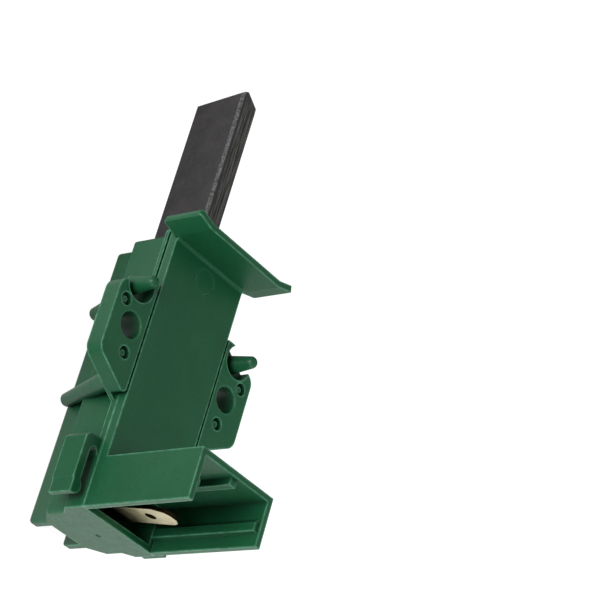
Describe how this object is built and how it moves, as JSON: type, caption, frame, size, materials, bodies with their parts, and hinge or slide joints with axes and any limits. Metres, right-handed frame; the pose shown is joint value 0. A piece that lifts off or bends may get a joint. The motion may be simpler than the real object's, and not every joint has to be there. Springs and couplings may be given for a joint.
{
  "type": "carbon brush",
  "caption": "Spring-loaded carbon brush in a moulded holder with mounting ears, snap clips, flared flange and a shrouded flat terminal.",
  "frame": {"origin": "middle of the part's footprint, in the plane of the rear face it lies on", "axes": "+X across the holder to the right seen from the connector end, +Y along the brush from the connector end to the running face, +Z out of the broad front face, the way the connector shroud points"},
  "size_m": [0.0398, 0.0976, 0.0439],
  "materials": {
    "green_plastic": "satin",
    "carbon": "matt",
    "brass": "satin",
    "spring_steel": "satin",
    "copper": "satin"
  },
  "bodies": {
    "holder": {"rear_housing": "green_plastic", "front_cover": "green_plastic", "brass_guide": "brass", "brass_terminal": "brass", "pressure_spring": "spring_steel", "copper_braid": "copper"},
    "brush": {"carbon_brush": "carbon"}
  },
  "joints": [
    {"name": "brush_slide", "type": "slide", "parent": "holder", "child": "brush", "axis": [0, 1, 0], "range_m": [-0.03, 0], "stiffness_N_per_m": 40, "springref_m": 0.02, "deforming": ["pressure_spring", "copper_braid"]}
  ]
}
